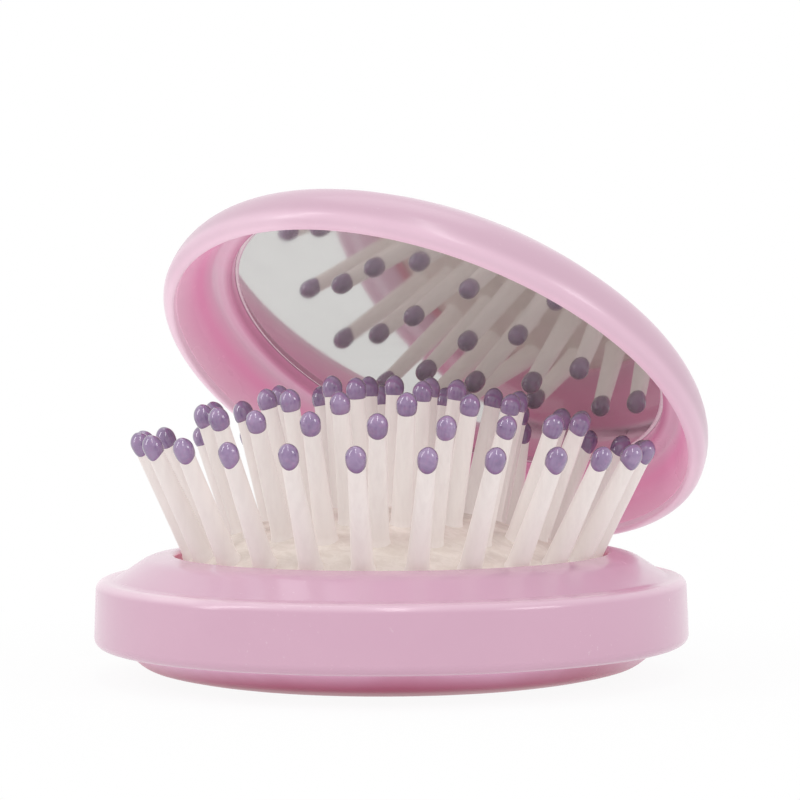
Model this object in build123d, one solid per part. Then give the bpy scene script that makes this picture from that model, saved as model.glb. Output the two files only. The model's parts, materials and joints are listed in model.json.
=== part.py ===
"""Folding pocket hairbrush with a mirror in its lid.

A round compact: a base ring that holds a pop-up air cushion with fanned bristles, and a lid with a mirror,
hinged at the back. Millimetres, +Z up. The origin is on the base's axis at the face that it rests on, the
hinge is on the +Y side, and the lid is drawn closed and then turned to its half-open rest position.
"""

import math
import os

from build123d import *

# Base ring and its raised collar
RING_R = 32.6  # outer radius of the base ring at its foot
RING_DRAFT = 0.3  # how much smaller that radius is at the shoulder
RING_WALL = 2.0  # thickness of the ring's outer wall
UNDERSIDE_Z = 3.5  # height of the ring's lower edge above the resting face
RING_HEIGHT = 7.3  # from the ring's lower edge to its flat shoulder
SHOULDER_WIDTH = 2.3  # from the ring's outside to the foot of the collar
COLLAR_WIDTH = 6.6  # from the foot of the collar to the opening that the cushion shows in
COLLAR_RISE = 2.85  # from the shoulder to the lip of the opening
COLLAR_CROWN = 0.81  # share of the collar's rise that its steep outer part takes
COLLAR_SKEW = 0.2  # how far the crown lies inside the middle of the collar
COLLAR_WALL = 1.5
LIP_DEPTH = 1.65  # height of the lip's inner face, above the ledge that stops the cushion
LEDGE_WIDTH = 0.9
LOWER_ROUND = 1.1
UPPER_ROUND = 1.0
COLLAR_FOOT_ROUND = 1.2
COLLAR_ROUND = 4.0
LIP_ROUND = 0.6

# Bottom cover with its finger hole
COVER_WALL = 1.3
UNDERSIDE_WIDTH = 2.85  # from the ring's outside to where the cover's steep rim meets the underside
COVER_RIM_WIDTH = 2.75
COVER_RIM_RISE = 2.2
COVER_RIM_ROUND = 5.0
COVER_RUN = 9.0  # width of the shallow dome, from the rim to the flat resting face
FINGER_HOLE_R = 14.0
SPIGOT_WALL = 1.4
FIT = 0.1  # gap between two moulded pieces that are glued or snapped together

# Pop-up cushion, its carrier and the push button
POP_UP_TRAVEL = 7.6
SLIDE_FIT = 0.3  # gap round a moulded piece that slides
SKIRT_WALL = 1.4  # wall of the guide that hangs below the collar
CUSHION_R = 48.0  # radius of the domed face
CUSHION_WALL = 1.2
CUSHION_FLANGE = 0.7  # thickness of the flat flange round the dome
CUSHION_BANDS = (1, 0.62, 0.25)  # where the dome's bands meet, as shares of the angle to its edge
CARRIER_WALL = 1.2
CARRIER_RIM = 1.9  # width of the carrier's rim, which the cushion's flange lies on
BUTTON_WALL = 1.2
BUTTON_RECESS = 0.2  # how far the retracted button stays above the resting face
BUTTON_DISH = 0.4
BUTTON_EDGE = 1.5  # width of the flat edge round the button's dish
PEG_R = 1.2
PEG_CIRCLE_R = 8.5
PEGS = 3

# Bristle pins and their ball tips
PIN_RINGS = {"centre": 0.0, "inner": 28.6, "second": 9.5, "third": 18.9, "outer": 11.1}  # turn in degrees
PINS_PER_RING = 6  # pins that each ring has more than the ring inside it
PIN_MARGIN = 2.0  # from the opening to the roots of the outer ring
PIN_REACH = 13.9  # from the cushion's face to the middle of the ball tip
PIN_ROOT_R = 1.15
PIN_END_R = 0.9
PIN_SUNK = 1.0  # depth of the root pressed into the rubber
PIN_SIDES = 8
TIP_R = 1.12
TIP_CROWN_R = 0.45  # radius of the small flat at the tip's end
TIP_LENGTH = 2.8
TIP_BELLY = 0.7  # height of the widest band above the tip's foot
TIP_BAND = 0.9  # height of the widest band
MIRROR_TOUCH = 0.2  # gap between the mirror and the tips that the half-open lid pushes upright

# Lid, mirror frame and mirror, in the closed position
LID_INSET = 0.85  # how far the lid stays inside the base ring's outside
LID_GAP = 0.55  # between the lid's lip and the base's shoulder
LID_LIP = 1.65  # width of the lid's lip
LID_LIP_ROUND = 1.3
LID_WALL = 1.1
LID_CREST = 4.5  # height from the lip to where the wall and the sloping back would meet
LID_CREST_ROUND = 5.2
LID_SLOPE = 33.0  # degrees between the sloping edge of the back and the shoulder plane
LID_SHOULDER = 7.4  # width of the round and the sloping edge, from the lid's outside
LID_CROWN_R = 12.0  # radius of the flat top
LID_HEIGHT = 10.6  # from the lip to the flat top
MIRROR_DEPTH = 6.95  # from the lip to the face of the mirror
MIRROR_GLASS = 0.9
MIRROR_GLUE = 0.15
MIRROR_MARGIN = 1.0  # how far the glue pad stays inside the mirror's edge
FRAME_WIDTH = 4.55  # from the frame's outside to the mirror's opening
FRAME_TUCK = 0.85  # how far the frame's edge stays behind the lid's lip
FRAME_EDGE = 0.7  # width of the frame's edge
FRAME_RIDGE = 1.1  # how far the ridge round the mirror stands in front of it
FRAME_RIDGE_WIDTH = 2.0

# Hinge
REST_ANGLE = 36.2  # how far the lid stands open from the closed position
HINGE_OUT = 1.0  # distance of the hinge axis outside the ring
HINGE_DROP = 1.1  # distance of the hinge axis below the shoulder
HINGE_PIN_R = 0.8
HINGE_FIT = 0.04
KNUCKLE_WALL = 0.9
LID_KNUCKLE = 10.0  # width of the middle knuckle, which is the lid's
BASE_KNUCKLE = 5.5  # width of each outer knuckle
KNUCKLE_GAP = 0.3
KNUCKLE_RELIEF = 0.25
GUSSET_DEPTH = 3.3  # from the hinge axis to the foot of the gusset under each outer knuckle

# Chords that stand for an arc
SMALL_ROUND_CHORDS = 1
LARGE_ROUND_CHORDS = 2
CREST_CHORDS = 3

# Heights and radii worked out from the sizes above
shoulder_z = UNDERSIDE_Z + RING_HEIGHT
lip_z = shoulder_z + COLLAR_RISE
ledge_z = lip_z - LIP_DEPTH
ring_in_r = RING_R - RING_WALL
collar_r = RING_R - SHOULDER_WIDTH
opening_r = collar_r - COLLAR_WIDTH
collar_under_z = shoulder_z - COLLAR_WALL
skirt_in_r = opening_r + LEDGE_WIDTH
skirt_out_r = skirt_in_r + SKIRT_WALL
carrier_r = skirt_in_r - SLIDE_FIT
flange_z = ledge_z - FIT - CUSHION_FLANGE
button_z = BUTTON_RECESS + POP_UP_TRAVEL
carrier_z = button_z + BUTTON_WALL
hinge_y = RING_R + HINGE_OUT
hinge_z = shoulder_z - HINGE_DROP
hinge_length = LID_KNUCKLE + 2 * (KNUCKLE_GAP + BASE_KNUCKLE)
knuckle_r = HINGE_PIN_R + KNUCKLE_WALL
lid_lip_z = shoulder_z + LID_GAP
lid_r = RING_R - LID_INSET
lid_in_r = lid_r - LID_LIP
frame_r = lid_in_r - FIT
frame_in_r = frame_r - FRAME_WIDTH
mirror_r = frame_in_r - FIT
mirror_z = lid_lip_z + MIRROR_DEPTH
mirror_back_z = mirror_z + MIRROR_GLASS

# The cover's dome is a shallow arc from the edge of the flat face to the steep rim below the ring
cover_rim_r = RING_R - UNDERSIDE_WIDTH
cover_flat_r = cover_rim_r - COVER_RIM_WIDTH - COVER_RUN
cover_rise = UNDERSIDE_Z - COVER_RIM_RISE
cover_arc_r = (COVER_RUN**2 + cover_rise**2) / (2 * cover_rise)
cover_turn = math.asin(COVER_RUN / cover_arc_r)

# The cushion's dome meets its flange at the edge of the opening
cushion_edge_r = opening_r - FIT
cushion_centre_z = flange_z + CUSHION_FLANGE - math.sqrt(CUSHION_R**2 - cushion_edge_r**2)


def lathe(corners):
    """A solid of revolution about Z.

    Each corner is (radius, height), or (radius, height, round, chords) where the corner is rounded off.
    """
    outline = []
    for before, corner, after in zip(corners[-1:] + corners[:-1], corners, corners[1:] + corners[:1]):
        outline += [corner] if len(corner) == 2 else rounded(before[:2], corner, after[:2])
    return revolve(make_face(Plane.XZ * Polyline(*outline, close=True)), Axis.Z)


def rounded(before, corner, after):
    """Points on the arc that rounds off a corner, in order."""
    radius, height, size, chords = corner
    steps = round(chords)
    path = FilletPolyline(before, (radius, height), after, radius=size)
    arc = path.edges().filter_by(GeomType.CIRCLE)[0]
    points = [arc @ (step / steps) for step in range(steps + 1)]
    start = Vector(*before)
    if (points[0] - start).length > (points[-1] - start).length:
        points.reverse()
    return [(point.X, point.Y) for point in points]


def arc_points(radius, centre, angles):
    """Points (radius, height) on an arc, at angles in radians from straight up."""
    return [(centre[0] + radius * math.sin(a), centre[1] + radius * math.cos(a)) for a in angles]


def along_hinge(profile, width, middle=0.0):
    """A profile drawn in (Y, Z), extruded along the hinge to the given width about its middle."""
    return extrude(Plane.YZ.offset(middle) * profile, width / 2, both=True)


def hinge_circle(radius):
    return Pos(hinge_y, hinge_z) * Circle(radius)


def turned_open(shape):
    """A piece of the closed lid, turned about the hinge to its rest position."""
    return shape.rotate(Axis((0, hinge_y, hinge_z), (-1, 0, 0)), REST_ANGLE)


def disc(radius, low_z, height):
    return Pos(0, 0, low_z + height / 2) * Cylinder(radius, height)


def base_housing():
    """The ring, its collar, the guide skirt below the collar, and the two outer knuckles."""
    crown_r = (opening_r + collar_r) / 2 - COLLAR_SKEW
    crown_z = shoulder_z + COLLAR_CROWN * COLLAR_RISE
    skirt_end_z = cover_inner_z(skirt_out_r) + SLIDE_FIT
    ring = lathe(
        [
            (ring_in_r, UNDERSIDE_Z),
            (RING_R, UNDERSIDE_Z, LOWER_ROUND, LARGE_ROUND_CHORDS),
            (RING_R - RING_DRAFT, shoulder_z, UPPER_ROUND, SMALL_ROUND_CHORDS),
            (collar_r, shoulder_z, COLLAR_FOOT_ROUND, SMALL_ROUND_CHORDS),
            (crown_r, crown_z, COLLAR_ROUND, SMALL_ROUND_CHORDS),
            (opening_r, lip_z, LIP_ROUND, SMALL_ROUND_CHORDS),
            (opening_r, ledge_z),
            (skirt_in_r, ledge_z),
            (skirt_in_r, skirt_end_z),
            (skirt_out_r, skirt_end_z),
            (skirt_out_r, collar_under_z),
            (ring_in_r, collar_under_z),
        ]
    )
    relief = along_hinge(hinge_circle(knuckle_r + KNUCKLE_RELIEF), LID_KNUCKLE + 2 * KNUCKLE_GAP)
    housing = ring - relief
    for side in (-1, 1):
        housing += base_knuckle(side)
    return housing - along_hinge(hinge_circle(HINGE_PIN_R + HINGE_FIT), hinge_length + KNUCKLE_GAP)


def base_knuckle(side):
    """One outer knuckle with the gusset that joins it to the ring's wall."""
    root_y = ring_in_r - RING_WALL
    top_z = shoulder_z - UPPER_ROUND
    gusset = Polygon(
        (root_y, top_z),
        (hinge_y, top_z),
        (hinge_y, hinge_z - knuckle_r),
        (root_y, hinge_z - knuckle_r - GUSSET_DEPTH),
        align=None,
    )
    middle = side * (LID_KNUCKLE / 2 + KNUCKLE_GAP + BASE_KNUCKLE / 2)
    knuckle = along_hinge(gusset + hinge_circle(knuckle_r), BASE_KNUCKLE, middle)
    return knuckle - disc(RING_R - RING_WALL / 2, UNDERSIDE_Z, 2 * RING_HEIGHT)


def cover_arc(radius):
    """Points of the cover's dome, from the flat face to its rim."""
    angles = [math.pi - cover_turn * step / LARGE_ROUND_CHORDS for step in range(LARGE_ROUND_CHORDS + 1)]
    return arc_points(radius, (cover_flat_r, cover_arc_r), angles)


def cover_inner_z(radius):
    """Height of the cover's inner face on the outer band of its dome, inside the rim."""
    (low_r, low_z), (high_r, high_z) = cover_arc(cover_arc_r - COVER_WALL)[-2:]
    return low_z + (radius - low_r) * (high_z - low_z) / (high_r - low_r)


def bottom_cover():
    """The domed cover with the finger hole and the spigot that seats inside the ring."""
    spigot_r = ring_in_r - FIT
    spigot_in_r = spigot_r - SPIGOT_WALL
    spigot_z = collar_under_z - FIT
    *dome, dome_end = cover_arc(cover_arc_r)
    rim = [(*dome_end, COVER_RIM_ROUND, SMALL_ROUND_CHORDS), (cover_rim_r, UNDERSIDE_Z)]
    outer = [(FINGER_HOLE_R, 0)] + dome + rim
    spigot = [(spigot_r, UNDERSIDE_Z), (spigot_r, spigot_z), (spigot_in_r, spigot_z)]
    inner = [(spigot_in_r, UNDERSIDE_Z + COVER_WALL)] + cover_arc(cover_arc_r - COVER_WALL)[::-1]
    return lathe(outer + spigot + inner + [(FINGER_HOLE_R, COVER_WALL)])


def peg_places():
    return list(PolarLocations(PEG_CIRCLE_R, PEGS))


def pad_carrier():
    """The dished plate that slides in the skirt and carries the cushion's flange."""
    rim_in_r = carrier_r - CARRIER_RIM
    edge_z = cover_inner_z(carrier_r) + FIT + POP_UP_TRAVEL
    plate = lathe(
        [
            (0, carrier_z),
            (cover_flat_r - SLIDE_FIT, carrier_z),
            (carrier_r, edge_z),
            (carrier_r, flange_z),
            (rim_in_r, flange_z),
            (cover_flat_r, carrier_z + CARRIER_WALL),
            (0, carrier_z + CARRIER_WALL),
        ]
    )
    return plate - [place * disc(PEG_R + HINGE_FIT, carrier_z, 2 * CARRIER_WALL) for place in peg_places()]


def push_button():
    """The disc in the finger hole, with the pegs that fasten it to the carrier."""
    radius = FINGER_HOLE_R - SLIDE_FIT
    dished = lathe(
        [
            (0, button_z + BUTTON_DISH),
            (radius - 2 * BUTTON_EDGE, button_z + BUTTON_DISH),
            (radius - BUTTON_EDGE, button_z),
            (radius, button_z),
            (radius, carrier_z),
            (0, carrier_z),
        ]
    )
    return dished + [place * disc(PEG_R, carrier_z, CARRIER_WALL) for place in peg_places()]


def cushion_dome(radius):
    """Points of a dome round the cushion's centre, from the edge of its flat top to its lowest band."""
    edge_turn = math.asin(cushion_edge_r / CUSHION_R)
    return arc_points(radius, (0, cushion_centre_z), [edge_turn * share for share in CUSHION_BANDS])


def cushion_pad():
    """The domed rubber membrane with its flat flange, hollow underneath."""
    dome = cushion_dome(CUSHION_R)
    roof_r, roof_z = cushion_dome(CUSHION_R - CUSHION_WALL)[-1]
    hollow_r = cushion_edge_r - CUSHION_WALL
    flange_top_z = flange_z + CUSHION_FLANGE
    return lathe(
        [(0, roof_z), (roof_r, roof_z), (hollow_r, flange_z), (carrier_r, flange_z), (carrier_r, flange_top_z)]
        + dome
        + [(0, dome[-1][1])]
    )


def mirror_plane():
    """A point on the mirror's face in the rest position, and the normal there."""
    face = turned_open(Face.make_rect(1, 1, Plane((0, 0, mirror_z), z_dir=(0, 0, -1))))
    return face.center(), face.normal_at()


def pin_places(ring, turn):
    """Where each pin of a ring stands: square to the dome, or pushed upright where the lid's mirror leans."""
    point, normal = mirror_plane()
    reach = TIP_LENGTH / 2 + MIRROR_TOUCH
    lean = math.asin((opening_r - PIN_MARGIN) * ring / (len(PIN_RINGS) - 1) / CUSHION_R)
    places = []
    for spot in PolarLocations(1, max(1, ring * PINS_PER_RING), turn):
        side = spot.position
        out = Vector(math.sin(lean) * side.X, math.sin(lean) * side.Y, math.cos(lean))
        root = Vector(0, 0, cushion_centre_z) + out * CUSHION_R
        if (root + out * PIN_REACH - point).dot(normal) < reach:
            share = (reach - (root - point).dot(normal)) / PIN_REACH
            along = (out - normal * out.dot(normal)).normalized()
            out = normal * share + along * math.sqrt(1 - share**2)
        places.append(Plane(origin=root, x_dir=Vector(0, 1, 0).cross(out), z_dir=out).location)
    return places


def tapered(low_r, high_r, low_z, high_z):
    """A slim many-sided taper between two heights, wide end and narrow end as given."""
    height = high_z - low_z
    slope = math.degrees(math.atan(abs(low_r - high_r) * math.cos(math.pi / PIN_SIDES) / height))
    if low_r >= high_r:
        return extrude(Pos(0, 0, low_z) * RegularPolygon(low_r, PIN_SIDES), height, taper=slope)
    return extrude(Pos(0, 0, high_z) * RegularPolygon(high_r, PIN_SIDES), -height, taper=slope)


def bristle_pin():
    return tapered(PIN_ROOT_R, PIN_END_R, -PIN_SUNK, PIN_REACH - TIP_LENGTH / 2)


def ball_tip():
    """An egg-shaped drop that sits on the end of a pin."""
    foot_z = PIN_REACH - TIP_LENGTH / 2
    belly_z = foot_z + TIP_BELLY
    crown_z = belly_z + TIP_BAND
    foot = tapered(PIN_END_R, TIP_R, foot_z, belly_z)
    belly = extrude(Pos(0, 0, belly_z) * RegularPolygon(TIP_R, PIN_SIDES), TIP_BAND)
    crown = tapered(TIP_R, TIP_CROWN_R, crown_z, foot_z + TIP_LENGTH)
    return foot + belly + crown


def lid_inner_z(radius):
    """Height of the lid's inner face on its sloping part."""
    slope = math.radians(LID_SLOPE)
    return lid_lip_z + LID_CREST + (lid_r - radius) * math.tan(slope) - LID_WALL / math.cos(slope)


def lid_shell():
    """The lid's outer shell with its hinge arm and knuckle, in the closed position."""
    top_z = lid_lip_z + LID_HEIGHT
    slope_z = lid_lip_z + LID_CREST + LID_SHOULDER * math.tan(math.radians(LID_SLOPE))
    pocket_r = mirror_r + 2 * FIT
    floor_z = mirror_back_z + MIRROR_GLUE
    cup = lathe(
        [
            (lid_in_r, lid_lip_z),
            (lid_r, lid_lip_z, LID_LIP_ROUND, LARGE_ROUND_CHORDS),
            (lid_r, lid_lip_z + LID_CREST, LID_CREST_ROUND, CREST_CHORDS),
            (lid_r - LID_SHOULDER, slope_z),
            (LID_CROWN_R, top_z),
            (0, top_z),
            (0, floor_z),
            (pocket_r, floor_z),
            (pocket_r, lid_inner_z(pocket_r)),
            (lid_in_r, lid_inner_z(lid_in_r)),
        ]
    )
    return cup + lid_arm() - along_hinge(hinge_circle(HINGE_PIN_R + HINGE_FIT), LID_KNUCKLE + KNUCKLE_GAP)


def lid_arm():
    """The middle knuckle and the arm that joins it to the lid's wall."""
    wall_y = lid_r - LID_LIP / 2
    root_z = lid_lip_z + LID_CREST * 0.7
    arm = Polygon(
        (wall_y, lid_lip_z + LID_LIP / 2),
        (hinge_y - knuckle_r / 2, hinge_z + knuckle_r / 2),
        (hinge_y + knuckle_r * 0.8, hinge_z + knuckle_r * 0.6),
        (lid_r, root_z),
        (wall_y, root_z),
        align=None,
    )
    return along_hinge(arm + hinge_circle(knuckle_r), LID_KNUCKLE)


def mirror_frame():
    """The inner ring of the lid, from its lip to the ridge round the mirror, in the closed position."""
    edge_z = lid_lip_z + FRAME_TUCK
    ridge_z = mirror_z - FRAME_RIDGE
    back_r = frame_r - (mirror_z - lid_inner_z(frame_r) + FIT) / math.tan(math.radians(LID_SLOPE))
    return lathe(
        [
            (frame_in_r, mirror_z),
            (frame_in_r, ridge_z),
            (frame_in_r + FRAME_RIDGE_WIDTH, ridge_z),
            (frame_r - FRAME_EDGE, edge_z),
            (frame_r, edge_z),
            (frame_r, lid_inner_z(frame_r) - FIT),
            (back_r, mirror_z),
        ]
    )


def hinge_pin():
    return along_hinge(hinge_circle(HINGE_PIN_R), hinge_length)


def pieces():
    """Every node by name. The lid's pieces are turned to the rest position, and the rest stands as drawn."""
    lid = {
        "lid_shell": lid_shell(),
        "mirror_frame": mirror_frame(),
        "mirror_glass": disc(mirror_r, mirror_z, MIRROR_GLASS),
        "mirror_glue_pad": disc(mirror_r - MIRROR_MARGIN, mirror_back_z, MIRROR_GLUE),
    }
    nodes = {
        "base_housing": base_housing(),
        "bottom_cover": bottom_cover(),
        "pad_carrier": pad_carrier(),
        "push_button": push_button(),
        "cushion_pad": cushion_pad(),
        "hinge_pin": hinge_pin(),
    }
    nodes.update({name: turned_open(piece) for name, piece in lid.items()})
    pin = bristle_pin()
    tip = ball_tip()
    for ring, (ring_name, turn) in enumerate(PIN_RINGS.items()):
        places = pin_places(ring, turn)
        nodes[f"pins_{ring_name}"] = Compound([pin.moved(place) for place in places])
        nodes[f"tips_{ring_name}"] = Compound([tip.moved(place) for place in places])
    return nodes


os.makedirs("parts", exist_ok=True)
for name, piece in pieces().items():
    export_step(piece, f"parts/{name}.step")
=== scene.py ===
"""Looks, light and camera for a folding pocket hairbrush with a mirror in its lid.

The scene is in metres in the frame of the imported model: the origin is on the base's axis at the face that it
rests on, +Z is up and the hinge is on the +Y side. Named sizes and sections are in millimetres, and the
lid's pieces are drawn as it lies when it is closed.
"""

import json
import math
import random

import bmesh
import bpy
from mathutils import Matrix, Vector, noise


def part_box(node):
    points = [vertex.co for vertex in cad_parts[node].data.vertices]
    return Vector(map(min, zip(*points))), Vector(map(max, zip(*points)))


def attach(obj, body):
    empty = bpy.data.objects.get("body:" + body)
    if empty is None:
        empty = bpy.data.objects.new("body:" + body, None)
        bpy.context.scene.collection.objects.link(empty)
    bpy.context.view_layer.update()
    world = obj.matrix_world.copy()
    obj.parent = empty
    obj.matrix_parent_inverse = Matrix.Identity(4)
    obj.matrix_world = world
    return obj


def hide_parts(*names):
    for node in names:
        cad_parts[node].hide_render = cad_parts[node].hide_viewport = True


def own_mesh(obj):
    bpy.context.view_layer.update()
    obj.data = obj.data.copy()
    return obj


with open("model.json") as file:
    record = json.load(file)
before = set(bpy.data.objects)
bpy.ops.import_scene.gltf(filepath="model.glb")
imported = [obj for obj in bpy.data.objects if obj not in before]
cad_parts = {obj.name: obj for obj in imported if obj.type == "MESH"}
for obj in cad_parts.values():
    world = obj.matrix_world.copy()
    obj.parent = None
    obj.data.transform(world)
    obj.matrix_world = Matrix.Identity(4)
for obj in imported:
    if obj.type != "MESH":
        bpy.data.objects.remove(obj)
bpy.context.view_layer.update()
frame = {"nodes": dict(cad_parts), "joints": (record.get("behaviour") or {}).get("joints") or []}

MM = 0.001
ROUND_STEPS = 256  # steps round the axis of a turned piece
ARC_STEPS = 8  # steps in the arc of a rounded corner
SHARP_TURN = math.radians(32)  # an edge that turns by more than this stays crisp

scene = bpy.context.scene
random.seed(7)

joints = {joint["name"]: joint for joint in frame["joints"]}
hinge = Vector(joints["lid_close"]["pos_m"])
rest_angle = -math.radians(joints["lid_close"]["range_deg"][0])
closing = Matrix.Translation(hinge) @ Matrix.Rotation(rest_angle, 4, "X") @ Matrix.Translation(-hinge)
hinge_y, hinge_z = hinge.y / MM, hinge.z / MM

# Hinge
HINGE_OUT = 1.0  # distance of the hinge axis outside the ring
HINGE_DROP = 1.1  # distance of the hinge axis below the shoulder
KNUCKLE_R = 1.7
KNUCKLE_CLEARANCE = 0.25  # room between the lid's knuckle and the ring
WIRE_R = 0.8
WIRE_FIT = 0.04
LID_KNUCKLE = 10.0
BASE_KNUCKLE = 5.5
KNUCKLE_GAP = 0.3
LUG_ROOT = 0.9  # how deep a lug's root lies in the ring
LUG_TOP = 1.0  # how far a lug's top lies below the shoulder
LUG_DEPTH = 3.0  # how far a lug's root reaches below its knuckle
LUG_EDGE = 0.12
ARM_EDGE = 0.15
WIRE_EDGE = 0.15

# Base ring, collar and cover
RING_DRAFT = 0.3
RING_WALL = 2.0
RING_ROOF = 1.5
RING_HEIGHT = 7.3
RING_FOOT_ROUND = 1.1
RING_EDGE_ROUND = 1.0
SHOULDER_WIDTH = 2.3
COLLAR_WIDTH = 6.6
COLLAR_RISE = 2.85
COLLAR_FOOT_ROUND = 1.2
COLLAR_CROWN = 0.81  # share of its rise that the collar has reached about halfway in
COLLAR_CROWN_ROUND = 4.0
LIP_ROUND = 0.6
LIP_DEPTH = 1.65
SKIRT_SET_BACK = 0.9  # how far the skirt that guides the pad lies outside the opening
SKIRT_WALL = 1.4
SKIRT_LIFT = 1.0
COVER_WALL = 1.3
COVER_RUN = 9.0
COVER_INSET = 2.85  # distance of the cover's rim inside the ring
COVER_STEEP = 2.2  # height of the cover's steep edge above its dome
COVER_EDGE_ROUND = 4.0
COVER_FLAT_R = 18.0
DOME_STEPS = 6
SPIGOT_FIT = 0.1
SPIGOT_WALL = 1.4
FINGER_HOLE_R = 14.0
BUTTON_GAP = 0.3
BUTTON_EDGE = 1.5
BUTTON_DISH = 0.4

# Cushion, pins and tips
CUSHION_R = 48.0
CUSHION_LIFT = 0.3  # how far the middle of the cushion swells above its plain dome
CUSHION_SAG = 0.04  # how uneven its skin is
DRAWN_UP = 0.2  # how far the skin is drawn up round a pin
DRAWN_UP_RUN = 0.55
CUSHION_FLANGE = 0.8
CUSHION_RINGS = 88
CUSHION_STEPS = 320
PIN_ROOT_R = 1.2
PIN_END_R = 0.93
PIN_NECK = 0.02  # how much thinner the pin is inside its tip
PIN_FLARE = ((0.0, 0.25), (1.0, 0.18), (1.3, 0.06), (1.8, 0.0))  # heights over the foot, and what they add
PIN_STEPS = 24
PIN_TRIM = 0.22  # how much shorter the pins are than the solid ones
PIN_STRAY = 0.07  # how far a pin's end strays from its place
TIP_R = 1.12
TIP_LENGTH = 2.3
TIP_BELLY = 0.42  # share of the tip's length where it is widest
TIP_CROWN = 1.15  # above 1 the tip's end is slimmer than an ellipse
TIP_STEPS = 32
TIP_FOOT_RINGS = 4
TIP_CROWN_RINGS = 12
LACQUER_RUN = 0.45  # how far the lacquer runs down the front of the outermost pins
RUN_SPAN = 1.2  # length of the tip, from its foot, that the run draws out
FULL_RUN_R = 22.0  # distance from the axis from which the lacquer runs down in full
DRIP_OUTWARD = 0.3  # how much the way it runs turns outward from straight to the front

# Lid and mirror
LID_INSET = 0.85
LID_GAP = 0.55
LID_LIP = 1.65
LID_LIP_ROUND = 1.3
LID_CREST = 4.5
LID_CREST_ROUND = 5.2
LID_HEIGHT = 10.6
LID_SLOPE = math.radians(33)
LID_SLOPE_RUN = 7.4
LID_SLOPE_ROUND = 14.0
LID_FLAT_R = 12.0
LID_FLAT_ROUND = 30.0
MIRROR_DEPTH = 6.95
MIRROR_GLASS = 0.9
MIRROR_BEVEL = 0.45
MIRROR_FIT = 0.1
MIRROR_BED = 0.2  # room round and behind the glass
LINING_WIDTH = 4.65
LINING_LIFT = 0.8  # how far the lining's edge lies above the lid's lip
WALL_LIFT = 2.9  # how far the hollow of the lining's wall lies above the lid's lip
RIDGE_RISE = 1.1
RIDGE_WIDTH = 2.0
RIDGE_ROUND = 1.1

ring_r = hinge_y - HINGE_OUT
shoulder_z = hinge_z + HINGE_DROP
underside_z = shoulder_z - RING_HEIGHT
lip_z = shoulder_z + COLLAR_RISE
ledge_z = lip_z - LIP_DEPTH
ring_in_r = ring_r - RING_WALL
collar_r = ring_r - SHOULDER_WIDTH
opening_r = collar_r - COLLAR_WIDTH
skirt_in_r = opening_r + SKIRT_SET_BACK
skirt_out_r = skirt_in_r + SKIRT_WALL
cushion_edge_r = opening_r - 0.12
cushion_centre_z = ledge_z - 0.1 - math.sqrt(CUSHION_R**2 - cushion_edge_r**2)

lid_r = ring_r - LID_INSET
lid_in_r = lid_r - LID_LIP
lid_lip_z = shoulder_z + LID_GAP
lid_top_z = lid_lip_z + LID_HEIGHT
lining_in_r = lid_in_r - LINING_WIDTH
mirror_r = lining_in_r - MIRROR_FIT
mirror_z = lid_lip_z + MIRROR_DEPTH
ridge_z = mirror_z - RIDGE_RISE


# ---------------------------------------------------------------------------------------------------------
# Shader parts
# ---------------------------------------------------------------------------------------------------------


def srgb(red, green, blue):
    """A colour as a screen shows it, 0 to 255, in the linear numbers that shaders take."""
    steps = [channel / 255 for channel in (red, green, blue)]
    return tuple(s / 12.92 if s <= 0.04045 else ((s + 0.055) / 1.055) ** 2.4 for s in steps) + (1.0,)


def new_group(name, inputs, outputs):
    """A node group with its input and output nodes. A socket's kind is f, c or v (number, colour, vector)."""
    group = bpy.data.node_groups.new(name, "ShaderNodeTree")
    kinds = {"f": "NodeSocketFloat", "c": "NodeSocketColor", "v": "NodeSocketVector"}
    for label, kind, value in inputs:
        socket = group.interface.new_socket(label, in_out="INPUT", socket_type=kinds[kind])
        socket.default_value = value
    for label, kind in outputs:
        group.interface.new_socket(label, in_out="OUTPUT", socket_type=kinds[kind])
    return group, group.nodes.new("NodeGroupInput"), group.nodes.new("NodeGroupOutput")


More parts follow.
